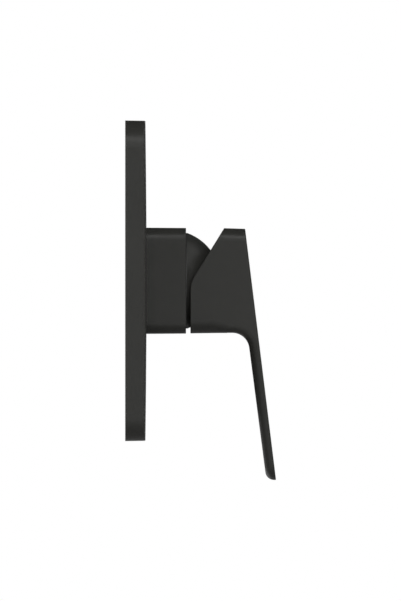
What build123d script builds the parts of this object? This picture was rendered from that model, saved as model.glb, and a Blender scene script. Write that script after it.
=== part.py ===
from build123d import *
import os
from math import cos, radians, sin, sqrt, tan

os.makedirs("parts", exist_ok=True)

# Concealed single-lever shower mixer, in mm. The wall plane is Y = 0, the mixer
# stands out of it towards -Y and +Z is up. "out" is the distance from the wall.

# Face plate
PLATE_WIDTH = 163.0
PLATE_CORNER = 14.0
PLATE_EDGE_DEPTH = 10.3
PLATE_CROWN = 0.6
PLATE_DRAFT = 0.9
PLATE_WALL = 1.8
PLATE_EDGE_ROUND = 0.55
RIM_LEDGE = 1.6
RIB_THICK = 1.6
RIB_RISE = 2.0
SNAP_LENGTH = 16.0
SNAP_DEPTH = 0.8
SNAP_HEIGHT = 1.2

# Foam gasket of the plate and rubber seal round the sleeve
GASKET_WIDTH = 4.0
GASKET_DEPTH = 3.0
SEAL_WIDTH = 2.3
SEAL_DEPTH = 1.9

# Plate carrier and its screws
CARRIER_WIDTH = 124.0
CARRIER_CORNER = 12.0
CARRIER_THICK = 2.4
CARRIER_OPENING_GAP = 1.0
CARRIER_ACCESS_R = 6.25
CARRIER_WINDOW_LENGTH = 56.0
CARRIER_WINDOW_WIDTH = 9.0
SCREW_R = 2.0
SCREW_HEAD_R = 3.4
SCREW_HEAD_HEIGHT = 1.9
SCREW_LENGTH = 3.0
SCREW_RECESS_WIDTH = 0.8
SCREW_SEAT_GAP = 1.55

# Valve body
FLANGE_EDGE = 9.0
FLANGE_CORNER = 12.0
FLANGE_THICK = 4.0
BOLT_SLEEVE_GAP = 5.0
BOLT_HOLE_R = 2.75
BARREL_WALL = 2.4
CHAMBER_FLOOR_OUT = 7.0
PORT_R = 3.0
SOCKET_R = 6.0
SOCKET_DEPTH = 4.5
O_RING_EDGE = 3.3
O_RING_THICK = 1.6
O_RING_SIDE_GAP = 0.3

# Sleeve, glide ring and dome cap
SLEEVE_WIDTH = 54.0
SLEEVE_CORNER = 6.4
SLEEVE_DRAFT = 0.43
SLEEVE_FRONT_OUT = 30.93
SLEEVE_WALL = 1.7
SLEEVE_FRONT_WALL = 2.4
SLEEVE_EDGE_ROUND = 0.35
WASHER_THICK = 0.4
WASHER_INSET = 0.15
PIVOT_OUT = 22.81
DOME_INSET = 1.16
DOME_WALL = 1.84
DOME_HOLE_R = 12.0
NECK_STEP = 1.05
NECK_WALL = 1.75
NECK_LENGTH = 7.0

# Cartridge
CARTRIDGE_STEP = 1.6
CARTRIDGE_WALL = 2.1
LID_THICK = 3.1
COLLAR_LENGTH = 4.0
COLLAR_WALL = 2.1
BASE_LIFT = 0.3
BASE_THICK = 2.0
BASE_LUG_WIDTH = 3.8
BASE_LUG_DEPTH = 2.0
PEG_R = 1.4
PEG_LENGTH = 1.4
SEAL_RING_RADIUS = 4.1
SEAL_RING_WIDTH = 1.6
SEAL_RING_DEPTH = 1.43
FIXED_DISC_THICK = 3.0
MOVING_DISC_STEP = 0.9
MOVING_DISC_THICK = 2.2
MIXING_LENGTH = 13.5
MIXING_WIDTH = 6.75
DISC_PEG_R = 1.1
DISC_PEG_LENGTH = 0.8
DISC_CARRIER_THICK = 2.8
DISC_CARRIER_STEP = 1.7
ROTOR_HUB_STEP = 3.05
ROTOR_FLANGE_THICK = 1.3
ROTOR_GUIDE_LENGTH = 8.0
ROTOR_SLOT_SPARE = 1.2
ROTOR_TAB_ANGLE = 20.0
TURN_LIMIT = 50.0
TURN_SPARE = 1.0
STOP_DEPTH = 2.4
LIMIT_RING_THICK = 1.95
PIN_R = 1.75
NUT_LIP_THICK = 3.0
NUT_RIM_WALL = 1.65
NUT_SLOT_WIDTH = 3.0
NUT_SLOT_DEPTH = 2.0

# Stem
STEM_WIDTH = 8.0
STEM_COVER = 4.94
STEM_TILT = 12.5
STEM_EYE_R = 5.0
STEM_NECK_R = 1.45
BALL_R = 1.7
BALL_LIFT = 0.31

# Lever
LEVER_GAP = 2.22
LEVER_INSET = 0.1
LEVER_CORNER = 6.4
LEVER_UNDER_CORNER = 7.0
LEVER_UNDER_CREASE = 3.0
LEVER_UNDER_RUN_OUT = 10.0
LEVER_UNDER_FADE = 0.45
LEVER_TOP_FRONT_OUT = 61.0
LEVER_TOP_SLOPE = 1.75
LEVER_UNDER_SLOPE = 0.8
LEVER_FRONT_TILT = 7.01
LEVER_TIP_DROP = 101.25
LEVER_CAVITY_GAP = 0.45
LEVER_EDGE_ROUND = 0.4
LEVER_REAR_ROUND = 0.3
BLADE_ROOT_THICK = 5.5
BLADE_REAR_TILT = 7.4
BLADE_FILLET = 8.7
BLADE_CORNER = 4.5
BLADE_TIP_WIDTH = 40.0
BLADE_TIP_CORNER = 9.0
BLADE_TAPER_START = 36.0
NOTCH_TILT = 31.7
NOTCH_START_DROP = 1.0
NOTCH_ROUND = 13.0

# Set screw and plug
SET_SCREW_R = 3.0
SET_SCREW_LENGTH = 8.0
SET_SCREW_EDGE = 1.71
HEX_KEY_WIDTH = 3.0
HEX_KEY_DEPTH = 3.0
PLUG_LENGTH = 3.0

# Clearances
RUNNING = 0.03
TIGHT = 0.02
THREAD = 0.05
SLIDING = 0.1
LOOSE = 0.2
FREE = 0.35

SIDE = Plane(origin=(0, 0, 0), x_dir=(0, -1, 0), z_dir=(-1, 0, 0))
OUT_AXIS = Axis((0, 0, 0), (0, -1, 0))
QUARTERS = (0, 90, 180, 270)


def slope(angle):
    return tan(radians(angle))


# Stations along the out axis
plate_depth = PLATE_EDGE_DEPTH + PLATE_CROWN
plate_inside = plate_depth - PLATE_WALL
plate_middle = plate_depth - PLATE_WALL / 2
carrier_front = FLANGE_THICK + CARRIER_THICK
base_start = CHAMBER_FLOOR_OUT + BASE_LIFT
base_end = base_start + BASE_THICK
fixed_end = base_end + FIXED_DISC_THICK
moving_end = fixed_end + MOVING_DISC_THICK
disc_carrier_end = moving_end + DISC_CARRIER_THICK
rotor_start = disc_carrier_end + LOOSE
rotor_flange_end = rotor_start + ROTOR_FLANGE_THICK
lid_start = rotor_flange_end + SLIDING
housing_shoulder = lid_start + LID_THICK
collar_end = housing_shoulder + COLLAR_LENGTH
rotor_end = collar_end + LIMIT_RING_THICK
barrel_end = rotor_end + FREE
dome_foot_out = SLEEVE_FRONT_OUT + WASHER_THICK
lever_rear = SLEEVE_FRONT_OUT + LEVER_GAP

# Sizes that follow from the pieces they fit
crown_radius = ((PLATE_WIDTH / 2) ** 2 + PLATE_CROWN**2) / (2 * PLATE_CROWN)
dome_r = SLEEVE_WIDTH / 2 - DOME_INSET
dome_foot_r = sqrt(dome_r**2 - (dome_foot_out - PIVOT_OUT) ** 2)
neck_r = dome_foot_r - NECK_STEP
neck_bore = neck_r - NECK_WALL
barrel_r = neck_bore - THREAD
thread_bore = barrel_r - BARREL_WALL
cartridge_r = thread_bore - CARTRIDGE_STEP
housing_bore = cartridge_r - CARTRIDGE_WALL
rotor_hub_r = housing_bore - ROTOR_HUB_STEP
rotor_bore = rotor_hub_r + SLIDING
collar_r = rotor_bore + COLLAR_WALL
nut_rim_bore = thread_bore - NUT_RIM_WALL
stop_bore = rotor_bore + STOP_DEPTH
moving_disc_r = rotor_hub_r - MOVING_DISC_STEP
disc_carrier_flat = moving_disc_r - DISC_CARRIER_STEP
port_radius = cartridge_r / 2
port_spacing = port_radius * sqrt(3)
o_ring_radius = port_radius + SOCKET_R + O_RING_EDGE
bolt_spacing = SLEEVE_WIDTH + 2 * BOLT_SLEEVE_GAP
flange_width = bolt_spacing + 2 * FLANGE_EDGE
ball_arm = PIVOT_OUT - moving_end - BALL_R - BALL_LIFT
disc_offset = ball_arm * sin(radians(STEM_TILT))


def sleeve_width(out):
    return SLEEVE_WIDTH - 2 * (out - plate_depth) * slope(SLEEVE_DRAFT)


lever_width = sleeve_width(SLEEVE_FRONT_OUT) - 2 * LEVER_INSET
seal_inner = sleeve_width(plate_inside - SEAL_DEPTH) + 2 * TIGHT
seal_outer = seal_inner + 2 * SEAL_WIDTH
seat_width = seal_outer + 2 * SLIDING
seat_rim_width = seat_width + 2 * RIB_THICK
carrier_screw_radius = seat_rim_width / 2 + SCREW_SEAT_GAP + SCREW_HEAD_R


def lever_front_out(up):
    """Distance of the lever's flat front from the wall at a given height."""
    notch_top = lever_rear + (lever_width / 2 + NOTCH_START_DROP) * slope(NOTCH_TILT)
    top = lever_width / 2 - (LEVER_TOP_FRONT_OUT - notch_top) * slope(LEVER_TOP_SLOPE)
    return LEVER_TOP_FRONT_OUT + (top - up) * slope(LEVER_FRONT_TILT)


stem_reach = lever_front_out(0) - PIVOT_OUT - STEM_COVER
set_screw_reach = dome_r + LEVER_CAVITY_GAP + SET_SCREW_EDGE + SET_SCREW_R

# Ports at the corners of a triangle: hot left, cold right, mixed water below
PORTS = [
    (-port_spacing / 2, port_radius / 2),
    (port_spacing / 2, port_radius / 2),
    (0, -port_radius),
]
PEGS = [(side * port_spacing * 0.7, -port_radius * 0.7) for side in (-1, 1)]
BOLTS = [(x * bolt_spacing / 2, z * bolt_spacing / 2) for x in (-1, 1) for z in (-1, 1)]
DISC_PEGS = (-moving_disc_r * 0.6, moving_disc_r * 0.6)

# Frame of the stem with the lever down: origin at the pivot, x along the stem
STEM_FRAME = Plane(
    origin=(0, -PIVOT_OUT, 0),
    x_dir=(0, -cos(radians(STEM_TILT)), -sin(radians(STEM_TILT))),
    z_dir=(-1, 0, 0),
)


def front(out):
    """Plane parallel to the wall: x is X, y is Z, extrusions go outwards."""
    return Plane(origin=(0, -out, 0), x_dir=(1, 0, 0), z_dir=(0, -1, 0))


def square(width, corner, start, end, draft=0):
    face = front(start) * RectangleRounded(width, width, corner)
    return extrude(face, end - start, taper=draft)


def rod(radius, start, end, x=0, z=0):
    return extrude(front(start) * Pos(x, z) * Circle(radius), end - start)


def ring(outer, inner, start, end, x=0, z=0):
    face = Circle(outer) - Circle(inner)
    return extrude(front(start) * Pos(x, z) * face, end - start)


def block(x_size, z_size, start, end, x=0, z=0):
    return extrude(front(start) * Pos(x, z) * Rectangle(x_size, z_size), end - start)


def turned(*edges):
    """Solid of revolution about the out axis from (out, radius) edges."""
    return revolve(SIDE * make_face(edges), OUT_AXIS)


def sector(radius, half_angle, start, end):
    """Piece of a disc, centred on the upward direction."""
    right = radians(90 - half_angle)
    first = (radius * cos(right), radius * sin(right))
    last = (-first[0], first[1])
    arc = ThreePointArc(first, (0, radius), last)
    outline = [Line((0, 0), first), arc, Line(last, (0, 0))]
    return extrude(front(start) * make_face(outline), end - start)


def pin_along_x(radius, length):
    return extrude(SIDE * Pos(PIVOT_OUT, 0) * Circle(radius), length / 2, both=True)


def stem_bar(width, start, end):
    return STEM_FRAME * Pos((start + end) / 2, 0, 0) * Box(end - start, width, width)


def across_stem(radius, start, end):
    """Cylinder on the set screw's axis, measured from the stem's centre line."""
    foot = Plane(origin=(set_screw_reach, start, 0), x_dir=(1, 0, 0), z_dir=(0, 1, 0))
    return STEM_FRAME * extrude(foot * Circle(radius), end - start)


def on_sphere(radius, off_axis):
    """(out, radius) point of a ball about the lever's pivot."""
    return (PIVOT_OUT + sqrt(radius**2 - off_axis**2), off_axis)


def quarter_turns(shape):
    return [Rot(0, angle, 0) * shape for angle in QUARTERS]


def both_sides(shape):
    return [shape, Rot(0, 180, 0) * shape]


def group(shapes):
    return Compound(children=[solid for shape in shapes for solid in shape.solids()])


def save(name, shape):
    solids = list(shape.solids())
    whole = solids[0] if len(solids) == 1 else group(solids)
    export_step(whole, f"parts/{name}.step")


def crown_ball(depth):
    """Large ball whose near side is the plate's crown at the given depth."""
    return Pos(0, crown_radius - depth, 0) * Sphere(crown_radius)


def plate_shell():
    """Drafted plate with a crowned front, hollow behind, with a seat for the gasket."""
    plate = square(PLATE_WIDTH, PLATE_CORNER, 0, plate_depth + 1, PLATE_DRAFT)
    plate = plate & crown_ball(plate_depth)
    low_edges = [e for e in plate.edges() if e.bounding_box().size.Y < PLATE_EDGE_DEPTH / 2]
    rim = [e for e in low_edges if e.center().Y < -PLATE_EDGE_DEPTH / 2]
    plate = fillet(rim, PLATE_EDGE_ROUND)
    inset = PLATE_WALL + RIM_LEDGE
    hollow = square(PLATE_WIDTH - 2 * inset, PLATE_CORNER - inset, 0, plate_depth, PLATE_DRAFT)
    plate = plate - (hollow & crown_ball(plate_inside))
    groove_width = PLATE_WIDTH - 2 * PLATE_WALL
    groove_depth = GASKET_DEPTH + THREAD
    return plate - square(groove_width, PLATE_CORNER - PLATE_WALL, 0, groove_depth, PLATE_DRAFT)


def carrier_fence():
    """Rib that takes the carrier inside it, with a snap on each side."""
    width = CARRIER_WIDTH + 2 * LOOSE
    start = FLANGE_THICK - SNAP_HEIGHT - SLIDING
    outer = square(width + 2 * RIB_THICK, CARRIER_CORNER + RIB_THICK, start, plate_middle)
    fence = outer & crown_ball(plate_middle)
    fence = fence - square(width, CARRIER_CORNER, 0, plate_depth)
    snap_z = (width - SNAP_DEPTH + RIB_THICK) / 2
    snap = block(SNAP_LENGTH, SNAP_DEPTH + RIB_THICK, start, start + SNAP_HEIGHT, 0, snap_z)
    for turned_snap in quarter_turns(snap):
        fence = fence + turned_snap
    return fence


def stiffening_ribs():
    """Two short ribs on each side between the fence and the rim."""
    inner = CARRIER_WIDTH / 2 + LOOSE + RIB_THICK / 2
    outer = PLATE_WIDTH / 2 - PLATE_WALL - RIM_LEDGE / 2
    start = GASKET_DEPTH + RIB_RISE
    ribs = []
    for side in (-1, 1):
        rib = block(RIB_THICK, outer - inner, start, plate_middle,
                    side * CARRIER_WIDTH * 0.3, (inner + outer) / 2)
        ribs += quarter_turns(rib & crown_ball(plate_middle))
    return ribs


def face_plate():
    plate = plate_shell() + carrier_fence()
    for rib in stiffening_ribs():
        plate = plate + rib
    seat_corner = SLEEVE_CORNER + SEAL_WIDTH
    seat_start = plate_inside - SEAL_DEPTH
    plate = plate + square(seat_rim_width, seat_corner + RIB_THICK, seat_start, plate_middle)
    plate = plate - square(seat_width, seat_corner, 0, plate_inside)
    hole = sleeve_width(plate_depth) + 2 * FREE
    return plate - square(hole, SLEEVE_CORNER + FREE, 0, plate_depth + 1)


def plate_gasket():
    outer = PLATE_WIDTH - 2 * (PLATE_WALL + SLIDING)
    inner = outer - 2 * GASKET_WIDTH
    corner = PLATE_CORNER - PLATE_WALL - SLIDING
    strip = square(outer, corner, 0, GASKET_DEPTH, PLATE_DRAFT)
    return strip - square(inner, corner - GASKET_WIDTH, -1, GASKET_DEPTH + 1)


def plate_seal():
    end = plate_inside - THREAD
    start = end - SEAL_DEPTH
    seal = square(seal_outer, SLEEVE_CORNER + SEAL_WIDTH, start, end)
    return seal - square(seal_inner, SLEEVE_CORNER, start - 1, end + 1)


def plate_carrier():
    frame = square(CARRIER_WIDTH, CARRIER_CORNER, FLANGE_THICK, carrier_front)
    opening = sleeve_width(FLANGE_THICK) + 2 * CARRIER_OPENING_GAP
    frame = frame - square(opening, SLEEVE_CORNER + CARRIER_OPENING_GAP, 0, carrier_front + 1)
    for x, z in BOLTS:
        frame = frame - rod(CARRIER_ACCESS_R, 0, carrier_front + 1, x, z)
    window_z = (CARRIER_WIDTH + flange_width) / 4
    slot = Pos(0, window_z) * SlotOverall(CARRIER_WINDOW_LENGTH, CARRIER_WINDOW_WIDTH)
    window = extrude(front(0) * slot, carrier_front + 1)
    screw_hole = rod(SCREW_R + LOOSE, 0, carrier_front + 1, 0, carrier_screw_radius)
    for cut in quarter_turns(window) + quarter_turns(screw_hole):
        frame = frame - cut
    return frame


def carrier_screws():
    head_end = carrier_front + SCREW_HEAD_HEIGHT
    head = rod(SCREW_HEAD_R, carrier_front, head_end, 0, carrier_screw_radius)
    rim = [e for e in head.edges() if e.center().Y < -head_end + SLIDING]
    screw = fillet(rim, SCREW_HEAD_HEIGHT * 0.4)
    shank_r = SCREW_R - THREAD
    screw = screw + rod(shank_r, FLANGE_THICK - SCREW_LENGTH, carrier_front, 0,
                        carrier_screw_radius)
    recess_start = head_end - SCREW_HEAD_HEIGHT * 0.6
    for size in ((SCREW_HEAD_R, SCREW_RECESS_WIDTH), (SCREW_RECESS_WIDTH, SCREW_HEAD_R)):
        screw = screw - block(*size, recess_start, head_end + 1, 0, carrier_screw_radius)
    return group(quarter_turns(screw))


def valve_body():
    body = square(flange_width, FLANGE_CORNER, 0, FLANGE_THICK)
    body = body + rod(barrel_r, 0, barrel_end)
    body = body - rod(cartridge_r + SLIDING, CHAMBER_FLOOR_OUT, barrel_end + 1)
    body = body - rod(thread_bore, housing_shoulder - SLIDING, barrel_end + 1)
    for x, z in PORTS:
        body = body - rod(SOCKET_R, -1, SOCKET_DEPTH, x, z)
        body = body - rod(PORT_R, 0, CHAMBER_FLOOR_OUT + 1, x, z)
    peg_hole_start = CHAMBER_FLOOR_OUT - PEG_LENGTH - LOOSE
    for x, z in PEGS:
        body = body - rod(PEG_R + SLIDING, peg_hole_start, CHAMBER_FLOOR_OUT + 1, x, z)
    for x, z in BOLTS:
        body = body - rod(BOLT_HOLE_R, -1, FLANGE_THICK + 1, x, z)
    screw_hole_start = FLANGE_THICK - SCREW_LENGTH - LOOSE
    screw_hole = rod(SCREW_R, screw_hole_start, FLANGE_THICK + 1, 0, carrier_screw_radius)
    for hole in quarter_turns(screw_hole):
        body = body - hole
    half = O_RING_THICK / 2 + O_RING_SIDE_GAP
    return body - ring(o_ring_radius + half, o_ring_radius - half, -1, O_RING_THICK + 2 * TIGHT)


def body_o_ring():
    section = Pos(O_RING_THICK / 2 + TIGHT, o_ring_radius) * Circle(O_RING_THICK / 2)
    return revolve(SIDE * section, OUT_AXIS)


def sleeve():
    base = sleeve_width(FLANGE_THICK)
    corner = SLEEVE_CORNER + (base - SLEEVE_WIDTH) / 2
    shell = square(base, corner, FLANGE_THICK, SLEEVE_FRONT_OUT, SLEEVE_DRAFT)
    rim = [e for e in shell.edges() if e.center().Y < -SLEEVE_FRONT_OUT + SLIDING]
    shell = fillet(rim, SLEEVE_EDGE_ROUND)
    hollow_end = SLEEVE_FRONT_OUT - SLEEVE_FRONT_WALL
    shell = shell - square(base - 2 * SLEEVE_WALL, corner - SLEEVE_WALL, FLANGE_THICK,
                           hollow_end, SLEEVE_DRAFT)
    return shell - rod(neck_r + LOOSE, FLANGE_THICK, SLEEVE_FRONT_OUT + 1)


def sleeve_washer():
    outer = dome_foot_r - WASHER_INSET
    return ring(outer, neck_r + SLIDING, SLEEVE_FRONT_OUT, dome_foot_out)


def dome_cap():
    inner_r = dome_r - DOME_WALL
    foot = (dome_foot_out, dome_foot_r)
    outer_lip = on_sphere(dome_r, DOME_HOLE_R)
    inner_lip = on_sphere(inner_r, DOME_HOLE_R)
    neck_top = on_sphere(inner_r, neck_bore)
    neck_end = dome_foot_out - NECK_LENGTH
    outer_way = on_sphere(dome_r, (DOME_HOLE_R + dome_foot_r) / 2)
    inner_way = on_sphere(inner_r, (DOME_HOLE_R + neck_bore) / 2)
    return turned(
        ThreePointArc(foot, outer_way, outer_lip),
        Line(outer_lip, inner_lip),
        ThreePointArc(inner_lip, inner_way, neck_top),
        Polyline(neck_top, (neck_end, neck_bore), (neck_end, neck_r),
                 (dome_foot_out, neck_r), foot),
    )


def cartridge_housing():
    start = CHAMBER_FLOOR_OUT + SLIDING
    housing = rod(cartridge_r, start, housing_shoulder)
    housing = housing + rod(collar_r, lid_start, collar_end)
    housing = housing - rod(housing_bore, start - 1, lid_start)
    return housing - rod(rotor_bore, start, collar_end + 1)


def cartridge_base():
    radius = housing_bore - SLIDING
    base = rod(radius, base_start, base_end)
    lug = block(BASE_LUG_DEPTH, BASE_LUG_WIDTH, base_start, base_end + FIXED_DISC_THICK * 0.7,
                radius - BASE_LUG_DEPTH / 2 - LOOSE)
    for turned_lug in both_sides(lug):
        base = base + turned_lug
    for x, z in PEGS:
        base = base + rod(PEG_R, CHAMBER_FLOOR_OUT - PEG_LENGTH, base_end, x, z)
    outer = SEAL_RING_RADIUS + SEAL_RING_WIDTH / 2 + SLIDING
    inner = SEAL_RING_RADIUS - SEAL_RING_WIDTH / 2 - SLIDING
    groove_end = CHAMBER_FLOOR_OUT + SEAL_RING_DEPTH + 2 * TIGHT
    for x, z in PORTS:
        base = base - rod(PORT_R, 0, base_end + 1, x, z)
        base = base - ring(outer, inner, 0, groove_end, x, z)
    return base


def base_seals():
    outer = SEAL_RING_RADIUS + SEAL_RING_WIDTH / 2
    inner = SEAL_RING_RADIUS - SEAL_RING_WIDTH / 2
    start = CHAMBER_FLOOR_OUT + TIGHT
    return group([ring(outer, inner, start, start + SEAL_RING_DEPTH, x, z) for x, z in PORTS])


def fixed_disc():
    radius = housing_bore - LOOSE
    disc = rod(radius, base_end, fixed_end)
    notch_depth = BASE_LUG_DEPTH + 2 * LOOSE
    notch = block(2 * notch_depth, BASE_LUG_WIDTH + LOOSE, base_end, fixed_end, radius)
    for turned_notch in both_sides(notch):
        disc = disc - turned_notch
    for x, z in PORTS:
        disc = disc - rod(PORT_R, base_end, fixed_end, x, z)
    return disc


def moving_disc():
    disc = rod(moving_disc_r, fixed_end, moving_end)
    mixing = SlotOverall(MIXING_LENGTH, MIXING_WIDTH, rotation=90)
    disc = disc - extrude(front(fixed_end) * mixing, MOVING_DISC_THICK / 2)
    hole_start = moving_end - DISC_PEG_LENGTH - SLIDING
    for x in DISC_PEGS:
        disc = disc - rod(DISC_PEG_R + SLIDING, hole_start, moving_end + 1, x)
    return Pos(0, 0, disc_offset) * disc


def disc_carrier():
    body = rod(moving_disc_r, moving_end, disc_carrier_end)
    body = body & block(2 * disc_carrier_flat, 3 * moving_disc_r, 0, PIVOT_OUT)
    for x in DISC_PEGS:
        body = body + rod(DISC_PEG_R, moving_end - DISC_PEG_LENGTH, disc_carrier_end, x)
    body = body - block(2 * BALL_R + 1, 2 * (BALL_R + SLIDING), 0, PIVOT_OUT)
    return Pos(0, 0, disc_offset) * body


def rotor():
    hub = rod(rotor_hub_r, rotor_start, rotor_end)
    hub = hub + rod(housing_bore - FREE, rotor_start, rotor_flange_end)
    guide_start = disc_carrier_flat + SLIDING
    guide_width = rotor_hub_r - guide_start
    guide = block(guide_width, ROTOR_GUIDE_LENGTH, moving_end + LOOSE, rotor_flange_end,
                  guide_start + guide_width / 2)
    for turned_guide in both_sides(guide):
        hub = hub + turned_guide
    hub = hub + sector(stop_bore - LOOSE, ROTOR_TAB_ANGLE / 2, collar_end + LOOSE, rotor_end)
    slot_length = 2 * (STEM_EYE_R + ROTOR_SLOT_SPARE)
    hub = hub - block(STEM_WIDTH + 2 * SLIDING, slot_length, 0, rotor_end + 1)
    return hub - pin_along_x(PIN_R + TIGHT, 2 * rotor_hub_r + 2)


def lever_pin():
    return pin_along_x(PIN_R, 2 * rotor_hub_r - STEM_WIDTH * 0.25)


def limit_ring():
    stop = ring(nut_rim_bore - LOOSE, rotor_bore + SLIDING, collar_end, rotor_end)
    half_angle = TURN_LIMIT + ROTOR_TAB_ANGLE / 2 + TURN_SPARE
    return stop - sector(stop_bore, half_angle, collar_end - 1, rotor_end + 1)


def retaining_nut():
    start = housing_shoulder + TIGHT
    nut = ring(thread_bore - THREAD, collar_r + LOOSE, start, barrel_end)
    nut = nut - rod(nut_rim_bore, start + NUT_LIP_THICK, barrel_end + 1)
    slot = block(2 * barrel_r, NUT_SLOT_WIDTH, barrel_end - NUT_SLOT_DEPTH, barrel_end + 1)
    for angle in (0, 60, 120):
        nut = nut - Rot(0, angle, 0) * slot
    return nut


def stem():
    bar = stem_bar(STEM_WIDTH, 0, stem_reach)
    eye = STEM_FRAME * Cylinder(STEM_EYE_R, STEM_WIDTH)
    neck_foot = Plane(origin=(0, 0, 0), x_dir=(0, 1, 0), z_dir=(-1, 0, 0))
    neck = STEM_FRAME * extrude(neck_foot * Circle(STEM_NECK_R), ball_arm)
    ball = STEM_FRAME * Pos(-ball_arm, 0, 0) * Sphere(BALL_R)
    return bar + eye + neck + ball - pin_along_x(PIN_R + RUNNING, 2 * STEM_WIDTH)


def lever_outline():
    """Front view of the lever: straight at the block, narrowing to the tip."""
    half = lever_width / 2
    tip = BLADE_TIP_WIDTH / 2
    top = lever_width
    bend = (half, -BLADE_TAPER_START)
    foot = (tip, -LEVER_TIP_DROP)
    curve = TangentArc(bend, foot, tangent=(0, -1))
    rest = Polyline(foot, (-tip, -LEVER_TIP_DROP))
    left = Polyline((-half, -BLADE_TAPER_START), (-half, top), (half, top), bend)
    return make_face([curve, rest, mirror(curve, Plane.YZ), left])


def rounded_at(face, point, radius):
    corner = face.vertices().sort_by_distance((point[0], point[1], 0))[0]
    return fillet(corner, radius)


def lever_blank():
    """Lever before its front is cut flat: side view meets front view."""
    half = lever_width / 2
    notch_start = (lever_rear, -NOTCH_START_DROP)
    notch_top = (lever_rear + (half + NOTCH_START_DROP) * slope(NOTCH_TILT), half)
    root_out = lever_front_out(-half) - BLADE_ROOT_THICK
    root = (root_out, -half + (root_out - lever_rear) * slope(LEVER_UNDER_SLOPE))
    tip_out = root_out + (LEVER_TIP_DROP + root[1]) * slope(BLADE_REAR_TILT)
    far = tip_out + 3 * LEVER_CORNER
    far_up = half - (far - notch_top[0]) * slope(LEVER_TOP_SLOPE)
    profile = make_face(Polyline(
        (lever_rear, -half), root, (tip_out, -LEVER_TIP_DROP), (far, -LEVER_TIP_DROP),
        (far, far_up), notch_top, notch_start, close=True,
    ))
    profile = rounded_at(profile, root, BLADE_FILLET)
    profile = rounded_at(profile, notch_start, NOTCH_ROUND)
    blank = extrude(SIDE * profile, lever_width, both=True)
    blank = blank & extrude(front(0) * lever_outline(), far + 1)
    level_edges = blank.edges().filter_by(Axis.Y)
    tip_corners = [e for e in level_edges if e.center().Z < -LEVER_TIP_DROP + SLIDING]
    blank = fillet(tip_corners, BLADE_TIP_CORNER)
    blank = fillet(lever_top_edges(blank), LEVER_CORNER)
    blank = fillet(lever_lower_edges(blank), BLADE_CORNER)
    for corner in under_corners(root_out - BLADE_FILLET):
        blank = blank - corner
    return blank


def lever_top_edges(blank):
    """Side edges of the block's top."""
    high = [e for e in blank.edges() if e.center().Z > lever_width / 4]
    sized = [(e, e.bounding_box().size) for e in high]
    return [e for e, size in sized if size.Y > LEVER_CORNER and size.Z < LEVER_CORNER / 2]


def lever_lower_edges(blank):
    """Side edges of the whole underside and of the blade's back, and the tip's edge."""
    picked = []
    for edge in blank.edges():
        c = edge.center()
        below = c.Z < -lever_width / 2 + LEVER_CORNER / 2
        behind = lever_rear + SLIDING < -c.Y < lever_front_out(c.Z) - SLIDING
        if below and behind and (abs(c.X) > 1 or edge.bounding_box().size.X > LEVER_CORNER):
            picked.append(edge)
    return [e for e in picked if abs(e.center().X) > 1 or e.center().Z < -LEVER_TIP_DROP + 1]


def under_section(out, radius):
    """What a round of the given radius takes off the block's lower right corner."""
    side = lever_width / 2
    under = -side + (out - lever_rear) * slope(LEVER_UNDER_SLOPE)
    low = (side - radius, under)
    high = (side, under + radius)
    flattening = radius * slope(LEVER_UNDER_CREASE) / sqrt(8)
    reach = radius * (1 - sqrt(0.5)) + flattening
    beyond = side + 1
    beneath = under - 1
    arc = ThreePointArc(low, (side - reach, under + reach), high)
    corner = Polyline(high, (beyond, high[1]), (beyond, beneath), (low[0], beneath), low)
    return front(out) * make_face([arc, corner])


def under_corners(end):
    """Larger round under the block, on both sides, running out towards the blade."""
    turn = end - LEVER_UNDER_RUN_OUT
    first = under_section(lever_rear - 1, LEVER_UNDER_CORNER)
    middle = under_section(turn, LEVER_UNDER_CORNER)
    last = under_section(end, BLADE_CORNER - LEVER_UNDER_FADE)
    right = loft([first, middle]) + loft([middle, last])
    return [right, mirror(right, Plane.YZ)]


def lever_rear_edges(casting):
    """Outline of the block's rear face and of the notch above it."""
    behind = [f for f in casting.faces() if f.normal_at().Y > 0.5]
    behind = [f for f in behind if f.center().Z > -lever_width / 2]
    edges = [e for f in behind for e in f.edges()]
    return [e for e in edges if sum(e.is_same(other) for other in edges) == 1]


def lever():
    tilt = radians(LEVER_FRONT_TILT)
    face = Plane(
        origin=(0, -lever_front_out(0), 0),
        x_dir=(1, 0, 0),
        z_dir=(0, -cos(tilt), sin(tilt)),
    )
    ahead = Rectangle(4 * lever_width, 4 * LEVER_TIP_DROP)
    casting = lever_blank() - extrude(face * ahead, LEVER_TIP_DROP)
    on_face = [e for e in casting.edges() if abs(face.to_local_coords(e.center()).Z) < TIGHT]
    casting = fillet(on_face, LEVER_EDGE_ROUND)
    casting = fillet(lever_rear_edges(casting), LEVER_REAR_ROUND)
    casting = casting - Pos(0, -PIVOT_OUT, 0) * Sphere(dome_r + LEVER_CAVITY_GAP)
    casting = casting - stem_bar(STEM_WIDTH + 2 * SLIDING, dome_r * 0.9, stem_reach + LOOSE)
    return casting - across_stem(SET_SCREW_R + THREAD, -2 * lever_width, 0)


def set_screw():
    tip = -STEM_WIDTH / 2 - THREAD
    end = tip - SET_SCREW_LENGTH
    screw = across_stem(SET_SCREW_R, end, tip)
    key_foot = Plane(origin=(set_screw_reach, end, 0), x_dir=(1, 0, 0), z_dir=(0, 1, 0))
    hexagon = RegularPolygon(HEX_KEY_WIDTH / 2, 6, major_radius=False)
    return screw - STEM_FRAME * extrude(key_foot * hexagon, HEX_KEY_DEPTH)


def screw_plug():
    under = -lever_width / 2 + LOOSE
    depth = 2 * stem_reach
    layer = block(lever_width, PLUG_LENGTH, 0, depth, 0, under + PLUG_LENGTH / 2)
    return across_stem(SET_SCREW_R, -2 * lever_width, 0) & layer


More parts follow.
